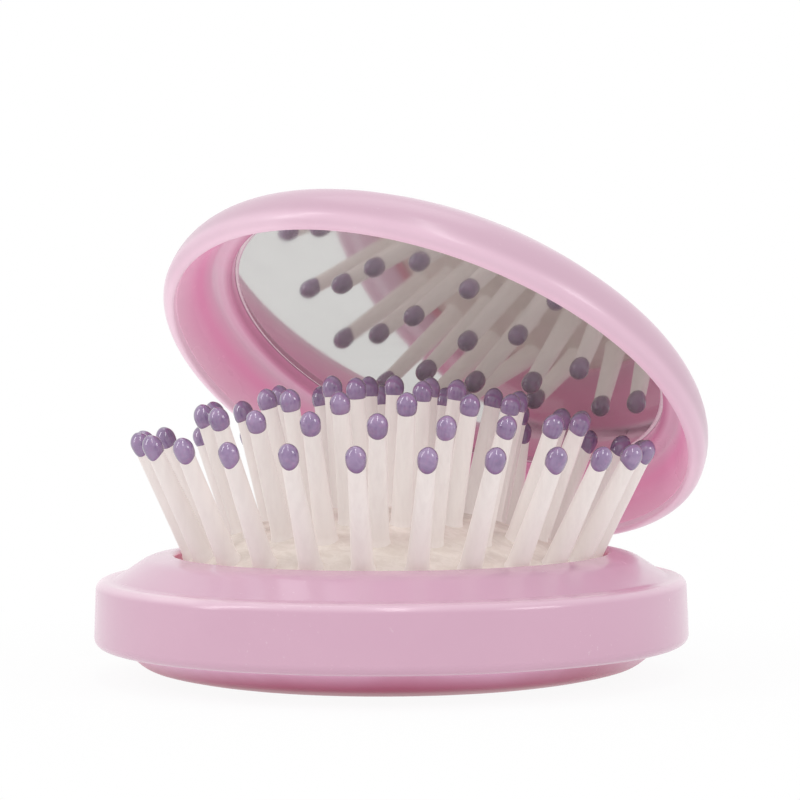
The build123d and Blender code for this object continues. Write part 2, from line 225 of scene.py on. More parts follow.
class Wiring:
    """Adds nodes to a tree and joins them."""

    def __init__(self, tree):
        self.tree = tree

    def node(self, kind, **settings):
        made = self.tree.nodes.new(kind)
        for key, value in settings.items():
            setattr(made, key, value)
        return made

    def feed(self, socket, value):
        """Joins the value where it is a socket, and sets it otherwise."""
        if isinstance(value, bpy.types.NodeSocket):
            self.tree.links.new(value, socket)
        else:
            socket.default_value = value

    def math(self, operation, a, b=0.0, clamp=False):
        made = self.node("ShaderNodeMath", operation=operation, use_clamp=clamp)
        self.feed(made.inputs[0], a)
        self.feed(made.inputs[1], b)
        return made.outputs[0]

    def place(self):
        return self.node("ShaderNodeTexCoord").outputs["Object"]

    def closed_place(self):
        """Where a point of the lid lies when the lid is closed."""
        made = self.node("ShaderNodeMapping")
        made.inputs["Location"].default_value = closing.translation
        made.inputs["Rotation"].default_value = closing.to_euler()
        self.feed(made.inputs["Vector"], self.place())
        return made.outputs["Vector"]

    def stretched(self, vector, scale, turn=(0, 0, 0)):
        made = self.node("ShaderNodeMapping")
        made.inputs["Scale"].default_value = scale
        made.inputs["Rotation"].default_value = turn
        self.feed(made.inputs["Vector"], vector)
        return made.outputs["Vector"]

    def radius_and_height(self, vector):
        """Distance from the Z axis and height, in millimetres."""
        parts = self.node("ShaderNodeSeparateXYZ")
        self.feed(parts.inputs[0], vector)
        across = self.math("POWER", parts.outputs["X"], 2.0)
        along = self.math("POWER", parts.outputs["Y"], 2.0)
        radius = self.math("SQRT", self.math("ADD", across, along))
        return self.math("DIVIDE", radius, MM), self.math("DIVIDE", parts.outputs["Z"], MM)

    def noise(self, vector, scale, detail=3.0, rough=0.55, distortion=0.0):
        made = self.node("ShaderNodeTexNoise")
        self.feed(made.inputs["Vector"], vector)
        made.inputs["Scale"].default_value = scale
        made.inputs["Detail"].default_value = detail
        made.inputs["Roughness"].default_value = rough
        made.inputs["Distortion"].default_value = distortion
        return made.outputs["Fac"]

    def span(self, value, low, high, to_low=0.0, to_high=1.0):
        """The value carried smoothly from one span to another, and held at the ends."""
        made = self.node("ShaderNodeMapRange", clamp=True, interpolation_type="SMOOTHSTEP")
        numbers = {"Value": value, "From Min": low, "From Max": high, "To Min": to_low, "To Max": to_high}
        for label, number in numbers.items():
            self.feed(made.inputs[label], number)
        return made.outputs["Result"]

    def mix(self, share, a, b, blend="MIX"):
        made = self.node("ShaderNodeMix", data_type="RGBA", blend_type=blend)
        for socket, value in zip((made.inputs["Factor"], made.inputs["A"], made.inputs["B"]), (share, a, b)):
            self.feed(socket, value)
        return made.outputs["Result"]

    def ramp(self, value, stops):
        """A colour for each value. A stop is (value, colour)."""
        low, high = stops[0][0], stops[-1][0]
        made = self.node("ShaderNodeValToRGB")
        elements = made.color_ramp.elements
        while len(elements) < len(stops):
            elements.new(0.5)
        for element, (spot, colour) in zip(elements, stops):
            element.position = (spot - low) / (high - low)
            element.color = colour
        scaled = self.node("ShaderNodeMapRange", clamp=True)
        for label, number in {"Value": value, "From Min": low, "From Max": high}.items():
            self.feed(scaled.inputs[label], number)
        self.feed(made.inputs["Fac"], scaled.outputs["Result"])
        return made.outputs["Color"]

    def group(self, tree, **values):
        made = self.node("ShaderNodeGroup", node_tree=tree)
        for label, value in values.items():
            self.feed(made.inputs[label], value)
        return made


def moulded_surface_group():
    """What moulding and handling leave on gloss plastic: cloudiness, orange peel, dust and hairlines."""
    group, given, result = new_group(
        "moulded_surface",
        [
            ("Place", "v", (0, 0, 0)),
            ("Colour", "c", (0.8, 0.5, 0.6, 1)),
            ("Deeper", "c", (0.7, 0.4, 0.5, 1)),
            ("Gloss", "f", 0.2),
            ("Wear", "f", 0.5),
        ],
        [("Colour", "c"), ("Roughness", "f"), ("Height", "f")],
    )
    w = Wiring(group)
    where, wear = given.outputs["Place"], given.outputs["Wear"]
    cloud = w.span(w.noise(where, 48.0, 3.0, 0.5, 0.6), 0.3, 0.72, 0.0, 0.5)
    colour = w.mix(cloud, given.outputs["Colour"], given.outputs["Deeper"])
    handled = w.span(w.noise(where, 80.0, 4.0, 0.6), 0.48, 0.75)
    lines = w.noise(w.stretched(where, (1.0, 14.0, 5.0), (0.4, 0.3, 0.7)), 260.0, 2.0, 0.7)
    hairline = w.math("MULTIPLY", w.span(lines, 0.66, 0.74), w.math("MULTIPLY", handled, wear))
    speck = w.math("MULTIPLY", w.span(w.noise(where, 2400.0, 1.0, 0.4), 0.72, 0.8), handled)
    speck = w.math("MULTIPLY", speck, w.math("MULTIPLY", wear, 0.5))
    w.feed(result.inputs["Colour"], w.mix(speck, colour, DUST))
    smear = w.span(w.noise(where, 34.0, 4.0, 0.6, 1.2), 0.3, 0.75, 0.0, 0.06)
    rough = w.math("ADD", w.math("ADD", given.outputs["Gloss"], smear), w.math("MULTIPLY", hairline, 0.25))
    w.feed(result.inputs["Roughness"], rough)
    peel = w.math("MULTIPLY", w.noise(where, 420.0, 2.0, 0.5), 0.5)
    w.feed(result.inputs["Height"], w.math("SUBTRACT", peel, w.math("MULTIPLY", hairline, 0.4)))
    return group


def new_material(name):
    """A material with its wiring and its Principled shader."""
    material = bpy.data.materials.new(name)
    material.use_nodes = True
    return material, Wiring(material.node_tree), material.node_tree.nodes["Principled BSDF"]


def bump(w, shader, height, strength, distance):
    made = w.node("ShaderNodeBump")
    made.inputs["Strength"].default_value = strength
    made.inputs["Distance"].default_value = distance
    w.feed(made.inputs["Height"], height)
    w.feed(shader.inputs["Normal"], made.outputs["Normal"])


def painted_glow(w, shader, colour, strength, share=1.0):
    """Painted light: a glow for light soaking through milky plastic into its shade, more in some places."""
    w.feed(shader.inputs["Emission Color"], w.mix(share, (0, 0, 0, 1), colour))
    shader.inputs["Emission Strength"].default_value = strength


def gloss_plastic(w, shader, where, colour, deeper, gloss, wear):
    """Wires a moulded gloss surface into a shader."""
    surface = w.group(moulded_surface, Place=where, Colour=colour, Deeper=deeper, Gloss=gloss, Wear=wear)
    w.feed(shader.inputs["Base Color"], surface.outputs["Colour"])
    w.feed(shader.inputs["Roughness"], surface.outputs["Roughness"])
    shader.inputs["IOR"].default_value = 1.49
    shader.inputs["Coat Weight"].default_value = 0.25
    shader.inputs["Coat Roughness"].default_value = 0.17
    bump(w, shader, surface.outputs["Height"], 0.1, 0.02 * MM)
    return surface.outputs["Colour"]


def base_plastic():
    """Milky pink, painted deeper for the shade and bounced light in the opening and under the lid."""
    material, w, shader = new_material("milky_pink_plastic")
    where = w.place()
    radius, height = w.radius_and_height(where)
    back = w.node("ShaderNodeSeparateXYZ")
    w.feed(back.inputs[0], where)
    # Painted shade: a deeper pink, with more glow, on the shoulder beside the hinge under the lid
    painted_under_lid = w.span(back.outputs["Y"], 17 * MM, 27 * MM)
    painted_under_lid = w.math("MULTIPLY", painted_under_lid, w.span(height, shoulder_z - 0.8, shoulder_z + 0.1))
    painted_under_lid = w.math("MULTIPLY", painted_under_lid, w.span(radius, ring_r - 0.4, ring_r - 1.4))
    # Painted shade: a deeper pink inside the opening's lip
    colour = w.mix(w.span(radius, opening_r + 0.35, opening_r - 0.1), MILKY_PINK, OPENING_PAINTED_SHADE)
    # Painted highlight: a paler pink along the ring's rounded top edge
    edge = w.span(radius, collar_r, ring_r - 0.9)
    edge = w.math("MULTIPLY", edge, w.span(height, shoulder_z - 0.9, shoulder_z - 0.25))
    colour = w.mix(painted_under_lid, w.mix(edge, colour, MILKY_PAINTED_HIGHLIGHT), SHADED_PINK)
    surface = gloss_plastic(w, shader, where, colour, MILKY_SHADE, 0.2, 0.6)
    # Painted light: a glow, stronger under the lid
    painted_glow(w, shader, surface, 0.25, w.span(painted_under_lid, 0.0, 1.0, 0.35, 0.85))
    return material


def lid_plastic():
    """Milky pink like the base, with painted light at the thin lip: paler there, and glowing more."""
    material, w, shader = new_material("lid_pink_plastic")
    where = w.closed_place()
    radius, height = w.radius_and_height(where)
    # Painted light: a paler pink on the thin lip
    lip = w.span(height, lid_lip_z + 2.4, lid_lip_z + 0.5)
    lip = w.math("MULTIPLY", lip, w.span(radius, lid_r + 0.6, lid_r + 0.1))
    surface = gloss_plastic(w, shader, where, w.mix(lip, LID_PINK, LID_LIP_PAINTED_LIGHT), LID_SHADE, 0.28, 0.6)
    # Painted light: more glow on the lip and inside it than on the rest of the lid
    underneath = w.span(radius, lid_r - 0.3, lid_r - 1.1, 0.5, 1.0)
    share = w.math("MULTIPLY", w.span(lip, 0.0, 1.0, 0.2, 1.0), underneath)
    painted_glow(w, shader, surface, 0.42, share)
    return material


def cover_plastic():
    """Deeper pink of the bottom cover and the button, with painted shade that makes it deepest low down."""
    material, w, shader = new_material("cover_pink_plastic")
    where = w.place()
    _, height = w.radius_and_height(where)
    # Painted shade: a much deeper pink low down
    colour = w.ramp(height, [(0.0, COVER_PAINTED_SHADE_AND_CLOUD), (1.0, COVER_PAINTED_SHADE_AND_CLOUD), (3.2, COVER_PINK), (4.0, COVER_PINK)])
    # Painted light: a faint glow; the deep pink also tints the cover's cloudiness
    painted_glow(w, shader, gloss_plastic(w, shader, where, colour, COVER_PAINTED_SHADE_AND_CLOUD, 0.26, 0.8), 0.16)
    shader.inputs["Specular IOR Level"].default_value = 0.15
    shader.inputs["Coat Weight"].default_value = 0.0
    return material


def lining_plastic():
    """The lid's deep pink inside: painted light on the mirror's ridge and at the lip, painted shade in the
    groove.
    """
    material, w, shader = new_material("lining_pink_plastic")
    where = w.closed_place()
    radius, _ = w.radius_and_height(where)
    # Painted shade in the groove by the mirror, painted light on the ridge and at the lip
    colour = w.ramp(
        radius,
        [
            (lining_in_r, GROOVE_PAINTED_SHADE),
            (lining_in_r + 0.35, GROOVE_PAINTED_SHADE),
            (lining_in_r + 1.0, RIDGE_PAINTED_LIGHT),
            (lining_in_r + RIDGE_WIDTH, RIDGE_PAINTED_LIGHT),
            (lining_in_r + 2.9, WALL_PINK),
            (lid_in_r - 1.5, WALL_PINK),
            (lid_in_r, WALL_EDGE_PAINTED_LIGHT),
        ],
    )
    surface = gloss_plastic(w, shader, where, colour, WALL_PINK, 0.24, 0.4)
    # Painted light: a glow, strongest in the groove
    painted_glow(w, shader, surface, 0.36, w.span(radius, lining_in_r + 0.4, lining_in_r + 1.4, 1.0, 0.85))
    return material


def cushion_rubber():
    """Beige rubber with a matt skin, brushed with darker streaks where dust lies between the pins."""
    material, w, shader = new_material("cushion_rubber")
    where = w.place()
    flat = w.stretched(where, (1.0, 1.6, 2.6), (0, 0, 0.6))
    streaks = w.noise(flat, 520.0, 5.0, 0.62, 1.0)
    patches = w.noise(where, 150.0, 3.0, 0.5, 0.6)
    grain = w.noise(where, 2600.0, 2.0, 0.5)
    tone = w.mix(w.span(streaks, 0.38, 0.62), CUSHION_SHADE, CUSHION_COLOUR)
    tone = w.mix(w.span(patches, 0.48, 0.68, 0.0, 0.5), tone, CUSHION_DUST)
    tone = w.mix(w.span(grain, 0.6, 0.75, 0.0, 0.2), tone, CUSHION_DUST)
    w.feed(shader.inputs["Base Color"], tone)
    # Painted light: a faint glow that lifts the cushion in the bristles' shade
    painted_glow(w, shader, tone, 0.12)
    w.feed(shader.inputs["Roughness"], w.span(patches, 0.3, 0.7, 0.6, 0.8))
    shader.inputs["Specular IOR Level"].default_value = 0.35
    bump(w, shader, w.math("ADD", streaks, w.math("MULTIPLY", grain, 0.15)), 0.12, 0.05 * MM)
    return material


def pin_nylon():
    """Off-white nylon, drawn smooth along the pin, with faint warm painted shade low down and a painted glow.
    """
    material, w, shader = new_material("pin_nylon")
    where = w.place()
    drawn = w.noise(w.stretched(where, (1.0, 1.0, 0.06)), 1500.0, 3.0, 0.6)
    cloud = w.noise(where, 160.0, 2.0, 0.5)
    _, height = w.radius_and_height(where)
    tone = w.mix(w.span(drawn, 0.35, 0.7, 0.0, 0.5), PIN_COLOUR, PIN_SHADE)
    tone = w.mix(w.span(cloud, 0.4, 0.7, 0.0, 0.4), tone, PIN_WARM)
    # Painted shade: darker and warmer low down, between the pins
    tone = w.mix(w.span(height, 21.0, 15.0, 0.0, 0.4), tone, PIN_ROOT_PAINTED_SHADE)
    w.feed(shader.inputs["Base Color"], tone)
    # Painted light: a glow that brightens the pins' shaded sides
    painted_glow(w, shader, w.mix(0.5, tone, PIN_PAINTED_GLOW), 0.36)
    w.feed(shader.inputs["Roughness"], w.span(cloud, 0.3, 0.7, 0.32, 0.45))
    shader.inputs["IOR"].default_value = 1.5
    bump(w, shader, drawn, 0.2, 0.03 * MM)
    return material


def tip_lacquer():
    """Mauve lacquer on the pins' ends: glossy, a little cloudy, redder in places, with painted shade at its
    rim.
    """
    material, w, shader = new_material("tip_lacquer")
    where = w.place()
    cloud = w.noise(where, 420.0, 3.0, 0.6, 0.4)
    fine = w.noise(where, 1500.0, 2.0, 0.5)
    tone = w.ramp(cloud, [(0.3, TIP_DARK), (0.52, TIP_COLOUR), (0.75, TIP_LIGHT)])
    tone = w.mix(w.span(fine, 0.5, 0.75, 0.0, 0.3), tone, TIP_RED)
    # Painted shade: darker where the surface turns away from view, at the rim
    facing = w.node("ShaderNodeLayerWeight").outputs["Facing"]
    w.feed(shader.inputs["Base Color"], w.mix(w.span(facing, 0.3, 0.85, 0.0, 0.85), tone, TIP_RIM_PAINTED_SHADE))
    w.feed(shader.inputs["Roughness"], w.span(fine, 0.3, 0.7, 0.1, 0.18))
    shader.inputs["IOR"].default_value = 1.52
    shader.inputs["Coat Weight"].default_value = 1.0
    shader.inputs["Coat Roughness"].default_value = 0.03
    bump(w, shader, cloud, 0.2, 0.05 * MM)
    return material


def mirror_silver():
    """Silvered glass with a faint haze, and a few specks where dust lies on it."""
    material, w, shader = new_material("mirror_silver")
    where = w.closed_place()
    haze = w.noise(where, 70.0, 4.0, 0.6, 0.8)
    dust = w.span(w.noise(where, 1900.0, 1.0, 0.4), 0.75, 0.82, 0.0, 0.3)
    tone = w.mix(w.span(haze, 0.35, 0.7), SILVER, SILVER_HAZE)
    w.feed(shader.inputs["Base Color"], w.mix(dust, tone, SILVER_DUST))
    w.feed(shader.inputs["Roughness"], w.span(haze, 0.35, 0.75, 0.05, 0.09))
    shader.inputs["Metallic"].default_value = 0.8
    return material


def glass_edge():
    """The ground edge of the mirror's glass: pale grey and satin, with a darker line inside it and a painted
    glow.
    """
    material, w, shader = new_material("mirror_glass_edge")
    where = w.closed_place()
    radius, _ = w.radius_and_height(where)
    ground = w.noise(where, 1300.0, 3.0, 0.6)
    line = w.span(radius, mirror_r - MIRROR_BEVEL + 0.05, mirror_r - MIRROR_BEVEL + 0.22)
    tone = w.mix(line, EDGE_DARK, EDGE_PALE)
    tone = w.mix(w.span(ground, 0.3, 0.7, 0.0, 0.3), tone, EDGE_DARK)
    w.feed(shader.inputs["Base Color"], tone)
    # Painted light: a glow that keeps the edge pale in the lid's shade
    painted_glow(w, shader, tone, 0.3)
    w.feed(shader.inputs["Roughness"], w.span(ground, 0.3, 0.7, 0.2, 0.38))
    shader.inputs["IOR"].default_value = 1.52
    bump(w, shader, ground, 0.2, 0.02 * MM)
    return material


def hinge_steel():
    """Drawn steel wire with lines along it and faint tarnish."""
    material, w, shader = new_material("hinge_steel")
    where = w.place()
    lines = w.noise(w.stretched(where, (0.05, 1.0, 1.0)), 3000.0, 3.0, 0.6)
    tarnish = w.noise(where, 500.0, 3.0, 0.5)
    tone = w.mix(w.span(tarnish, 0.4, 0.7), STEEL, STEEL_TARNISH)
    w.feed(shader.inputs["Base Color"], tone)
    w.feed(shader.inputs["Roughness"], w.span(lines, 0.3, 0.7, 0.22, 0.38))
    shader.inputs["Metallic"].default_value = 1.0
    bump(w, shader, lines, 0.3, 0.01 * MM)
    return material


def glue_foam():
    """White adhesive foam behind the mirror, with its open cells."""
    material, w, shader = new_material("glue_foam")
    cells = w.noise(w.closed_place(), 3200.0, 2.0, 0.5)
    tone = w.ramp(cells, [(0.3, FOAM_CELL), (0.7, FOAM_WHITE)])
    w.feed(shader.inputs["Base Color"], tone)
    shader.inputs["Roughness"].default_value = 0.8
    bump(w, shader, cells, 0.5, 0.03 * MM)
    return material


# ---------------------------------------------------------------------------------------------------------
# Mesh parts
# ---------------------------------------------------------------------------------------------------------


def rounded_outline(corners):
    """Points of a closed outline. A corner is (radius, height), or (radius, height, round) where soft."""
    points = []
    for before, corner, after in zip(corners[-1:] + corners[:-1], corners, corners[1:] + corners[:1]):
        here = Vector(corner[:2])
        if len(corner) == 2:
            points.append(here)
            continue
        to_before = (Vector(before[:2]) - here).normalized()
        to_after = (Vector(after[:2]) - here).normalized()
        half = to_before.angle(to_after) / 2
        reach = corner[2] / math.tan(half)
        centre = here + (to_before + to_after).normalized() * corner[2] / math.sin(half)
        start = here + to_before * reach - centre
        end = here + to_after * reach - centre
        turn = math.atan2(start.x * end.y - start.y * end.x, start.dot(end))
        for step in range(ARC_STEPS + 1):
            angle = turn * step / ARC_STEPS
            points.append(centre + Matrix.Rotation(angle, 2) @ start)
    return points


def finish_mesh(bm, name):
    """A smooth-shaded object whose tight edges stay crisp."""
    bmesh.ops.recalc_face_normals(bm, faces=bm.faces)
    for face in bm.faces:
        face.smooth = True
    for edge in bm.edges:
        edge.smooth = not edge.is_manifold or edge.calc_face_angle(0.0) < SHARP_TURN
    mesh = bpy.data.meshes.new(name)
    bm.to_mesh(mesh)
    bm.free()
    made = bpy.data.objects.new(name, mesh)
    scene.collection.objects.link(made)
    return made


def circle_points(radius, height, steps):
    """Points round the Z axis, in metres."""
    turns = [math.tau * step / steps for step in range(steps)]
    return [Vector((radius * math.cos(a), radius * math.sin(a), height)) * MM for a in turns]


def bridge(bm, low, high):
    """Joins two rings of as many points by faces."""
    for a, b, c, d in zip(low, low[1:] + low[:1], high[1:] + high[:1], high):
        bm.faces.new((a, b, c, d))


def turned(name, corners):
    """A solid turned about the Z axis from its outline."""
    bm = bmesh.new()
    rings = []
    for point in rounded_outline(corners):
        steps = 1 if point.x < 1e-6 else ROUND_STEPS
        rings.append([bm.verts.new(spot) for spot in circle_points(point.x, point.y, steps)])
    for low, high in zip(rings, rings[1:] + rings[:1]):
        if len(low) == len(high) == ROUND_STEPS:
            bridge(bm, low, high)
        elif len(low) != len(high):
            hub, rim = (low[0], high) if len(low) == 1 else (high[0], low)
            for a, b in zip(rim, rim[1:] + rim[:1]):
                bm.faces.new((hub, a, b))
    return finish_mesh(bm, name)


def along_hinge(name, outline, low_x, high_x):
    """A prism along the hinge from an outline in (Y, Z)."""
    bm = bmesh.new()
    near, far = ([bm.verts.new((x * MM, y * MM, z * MM)) for y, z in outline] for x in (low_x, high_x))
    bridge(bm, near, far)
    bm.faces.new(near[::-1])
    bm.faces.new(far)
    return finish_mesh(bm, name)


def hinge_circle(radius, steps=48):
    turns = [math.tau * step / steps for step in range(steps)]
    return [(hinge_y + radius * math.cos(a), hinge_z + radius * math.sin(a)) for a in turns]


def settle(piece):
    """Applies a piece's modifiers to its mesh."""
    bpy.context.view_layer.update()
    mesh = bpy.data.meshes.new_from_object(piece.evaluated_get(bpy.context.evaluated_depsgraph_get()))
    piece.modifiers.clear()
    piece.data = mesh


def combine(piece, other, operation):
    """Cuts another solid out of the piece, or joins it to it. The other is used up."""
    cutter = piece.modifiers.new(operation, "BOOLEAN")
    cutter.operation = operation
    cutter.solver = "EXACT"
    cutter.object = other
    settle(piece)
    bpy.data.objects.remove(other)


def soften(piece, width, segments=3):
    """Rounds the crisp edges of a piece, and returns it."""
    bevel = piece.modifiers.new("soft_edges", "BEVEL")
    bevel.width = width * MM
    bevel.segments = segments
    bevel.limit_method = "ANGLE"
    bevel.angle_limit = SHARP_TURN
    settle(piece)
    bm = bmesh.new()
    bm.from_mesh(piece.data)
    name = piece.name
    bpy.data.objects.remove(piece)
    return finish_mesh(bm, name)


def dress(piece, body, material, slot, *nodes):
    """Gives a piece its material and its body, and hides the nodes that it stands for. The slot is not used.
    """
    piece.data.materials.clear()
    piece.data.materials.append(material)
    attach(piece, body)
    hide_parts(*nodes)


def dress_lid_piece(piece, material, slot, node):
    """Turns a piece that was drawn closed to the lid's rest position, and dresses it."""
    piece.data.transform(closing.inverted())
    dress(piece, "lid", material, slot, node)


# ---------------------------------------------------------------------------------------------------------
# Base
# ---------------------------------------------------------------------------------------------------------


def cover_arc(inward):
    """The cover's dome from the flat face out to its rim, moved inward by a thickness."""
    rise = underside_z - COVER_STEEP
    arc = (COVER_RUN**2 + rise**2) / (2 * rise)
    turns = [math.asin(COVER_RUN / arc) * step / DOME_STEPS for step in range(DOME_STEPS + 1)]
    return [(COVER_FLAT_R + (arc - inward) * math.sin(a), arc - (arc - inward) * math.cos(a)) for a in turns]


def make_base_ring():
    crown_r = (opening_r + collar_r) / 2 - 0.2
    ring = turned(
        "base_ring",
        [
            (ring_in_r, underside_z),
            (ring_r, underside_z, RING_FOOT_ROUND),
            (ring_r - RING_DRAFT, shoulder_z, RING_EDGE_ROUND),
            (collar_r, shoulder_z, COLLAR_FOOT_ROUND),
            (crown_r, shoulder_z + COLLAR_CROWN * COLLAR_RISE, COLLAR_CROWN_ROUND),
            (opening_r, lip_z, LIP_ROUND),
            (opening_r, ledge_z),
            (skirt_in_r, ledge_z),
            (skirt_in_r, underside_z + SKIRT_LIFT),
            (skirt_out_r, underside_z + SKIRT_LIFT),
            (skirt_out_r, shoulder_z - RING_ROOF),
            (ring_in_r, shoulder_z - RING_ROOF),
        ],
    )
    half = LID_KNUCKLE / 2 + KNUCKLE_GAP
    relief = along_hinge("relief", hinge_circle(KNUCKLE_R + KNUCKLE_CLEARANCE), -half, half)
    combine(ring, relief, "DIFFERENCE")
    dress(ring, "base", milky_pink, "pink_plastic", "base_housing")


def make_hinge_lugs():
    """The two lugs that carry the hinge wire behind the ring."""
    root_y = ring_r - LUG_ROOT
    lug_outline = [
        (root_y, shoulder_z - LUG_TOP),
        (hinge_y, shoulder_z - LUG_TOP),
        (hinge_y, hinge_z - KNUCKLE_R),
        (root_y, hinge_z - KNUCKLE_R - LUG_DEPTH),
    ]
    for side, label in ((-1, "left"), (1, "right")):
        inner = side * (LID_KNUCKLE / 2 + KNUCKLE_GAP)
        low_x, high_x = sorted((inner, inner + side * BASE_KNUCKLE))
        lug = along_hinge(f"hinge_lug_{label}", lug_outline, low_x, high_x)
        combine(lug, along_hinge("barrel", hinge_circle(KNUCKLE_R), low_x, high_x), "UNION")
        bore = along_hinge("bore", hinge_circle(WIRE_R + WIRE_FIT), low_x - 1, high_x + 1)
        combine(lug, bore, "DIFFERENCE")
        dress(soften(lug, LUG_EDGE), "base", milky_pink, "pink_plastic", "base_housing")


def make_bottom_cover():
    *dome, dome_end = cover_arc(0.0)
    spigot_r = ring_in_r - SPIGOT_FIT
    spigot_in_r = spigot_r - SPIGOT_WALL
    spigot_z = shoulder_z - RING_ROOF - SPIGOT_FIT
    cover = turned(
        "bottom_dome",
        [(FINGER_HOLE_R, 0.0, 0.3), *dome]
        + [(*dome_end, COVER_EDGE_ROUND), (ring_r - COVER_INSET, underside_z)]
        + [(spigot_r, underside_z), (spigot_r, spigot_z)]
        + [(spigot_in_r, spigot_z), (spigot_in_r, underside_z + COVER_WALL)]
        + cover_arc(COVER_WALL)[::-1]
        + [(FINGER_HOLE_R, COVER_WALL)],
    )
    dress(cover, "base", cover_pink, "deep_pink_plastic", "bottom_cover")


def make_push_button():
    edge_r = FINGER_HOLE_R - BUTTON_GAP
    low_z, high_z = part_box("push_button")[0].z / MM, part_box("pad_carrier")[0].z / MM
    button = turned(
        "push_button_dish",
        [
            (0, low_z + BUTTON_DISH),
            (edge_r - 2 * BUTTON_EDGE, low_z + BUTTON_DISH, 2.0),
            (edge_r - BUTTON_EDGE, low_z, 0.5),
            (edge_r, low_z, 0.25),
            (edge_r, high_z),
            (0, high_z),
        ],
    )
    dress(button, "pad", cover_pink, "deep_pink_plastic", "push_button")


def make_hinge_wire():
    half = LID_KNUCKLE / 2 + KNUCKLE_GAP + BASE_KNUCKLE
    wire = soften(along_hinge("hinge_wire", hinge_circle(WIRE_R), -half, half), WIRE_EDGE)
    dress(wire, "hinge_pin", steel, "hinge_steel", "hinge_pin")


# ---------------------------------------------------------------------------------------------------------
# Cushion, pins and tips
# ---------------------------------------------------------------------------------------------------------


def islands(bm):
    """The separate groups of joined points in a mesh, always in the order of their first points."""
    reached = set()
    for first in bm.verts:
        if first in reached:
            continue
        reached.add(first)
        island = [first]
        for vert in island:
            for edge in vert.link_edges:
                other = edge.other_vert(vert)
                if other not in reached:
                    reached.add(other)
                    island.append(other)
        yield island


def pin_axes(node):
    """The foot and the end of each pin's axis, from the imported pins, with the cushion's lean."""
    bm = bmesh.new()
    bm.from_mesh(frame["nodes"][node].data)
    bmesh.ops.remove_doubles(bm, verts=bm.verts, dist=1e-6)
    axes = []
    for island in islands(bm):
        spots = sorted((vert.co.copy() for vert in island), key=lambda spot: spot.z)
        half = len(spots) // 2
        foot, end = (sum(part, Vector()) / len(part) for part in (spots[:half], spots[half:]))
        foot, end = (cushion_lean @ spot + up * CUSHION_LIFT * MM for spot in (foot, end))
        stray = Vector([random.gauss(0, PIN_STRAY) for _ in range(3)])
        axes.append((foot, end + (stray - (end - foot).normalized() * PIN_TRIM) * MM))
    bm.free()
    return sorted(axes, key=lambda axis: math.atan2(axis[0].y, axis[0].x))


def stem(bm, foot, direction, side, stations, steps, run=None):
    """Skins rings round an axis. A station is (distance along the axis, radius), and run lowers points."""
    across = direction.cross(side)
    rings = []
    for along, radius in stations:
        ring = []
        for step in range(steps):
            angle = math.tau * step / steps
            drop = run(along, angle) if run else 0.0
            out = side * math.cos(angle) + across * math.sin(angle)
            ring.append(bm.verts.new(foot + (direction * (along - drop) + out * radius) * MM))
        rings.append(ring)
    for low, high in zip(rings, rings[1:]):
        bridge(bm, low, high)
    bm.faces.new(rings[0][::-1])
    bm.faces.new(rings[-1])


def make_pins(label, axes):
    bm = bmesh.new()
    for foot, end in axes:
        length = (end - foot).length / MM
        direction = (end - foot).normalized()
        stations = [(along, PIN_ROOT_R + wider) for along, wider in PIN_FLARE]
        stations += [
            (length * 0.5, (PIN_ROOT_R + PIN_END_R) / 2),
            (length - 0.6, PIN_END_R),
            (length + 0.9, PIN_END_R - PIN_NECK),
        ]
        stem(bm, foot, direction, direction.orthogonal().normalized(), stations, PIN_STEPS)
    pins = finish_mesh(bm, f"bristle_pins_{label}")
    dress(pins, "pad", nylon, "pin_plastic", f"pins_{label}")
    return pins


def tip_stations(size):
    """An egg-shaped drop: it swells from the pin to its belly and closes in a half ellipse."""
    foot_r = PIN_END_R - PIN_NECK
    stations = []
    for step in range(TIP_FOOT_RINGS + 1):
        turn = math.pi / 2 * step / TIP_FOOT_RINGS
        radius = foot_r + (TIP_R - foot_r) * math.sin(turn)
        stations.append((TIP_BELLY * (1 - math.cos(turn)) * TIP_LENGTH * size, radius * size))
    for step in range(1, TIP_CROWN_RINGS + 1):
        turn = math.pi / 2 * step / (TIP_CROWN_RINGS + 0.3)  # the last ring lies just short of the pole
        share = TIP_BELLY + (1 - TIP_BELLY) * math.sin(turn)
        stations.append((share * TIP_LENGTH * size, TIP_R * math.cos(turn) ** TIP_CROWN * size))
    return stations


def make_tips(label, axes):
    bm = bmesh.new()
    for foot, end in axes:
        direction = (end - foot).normalized()
        drip = end.xy.to_3d().normalized() * DRIP_OUTWARD - away
        drip = (drip - direction * drip.dot(direction)).normalized()
        outward = min(1.0, foot.xy.length / (FULL_RUN_R * MM))
        reach = LACQUER_RUN * outward**2 * random.uniform(0.8, 1.1)
        skew = random.uniform(-0.3, 0.3)

        def run(along, angle):
            """The lacquer's foot runs a little down the pin's front."""
            return reach * max(0.0, math.cos(angle + skew)) ** 2 * max(0.0, 1 - along / RUN_SPAN)

        stem(bm, end, direction, drip, tip_stations(random.uniform(0.96, 1.02)), TIP_STEPS, run)
    tips = finish_mesh(bm, f"bristle_tips_{label}")
    dress(tips, "pad", lacquer, "tip_plastic", f"tips_{label}")
    return tips


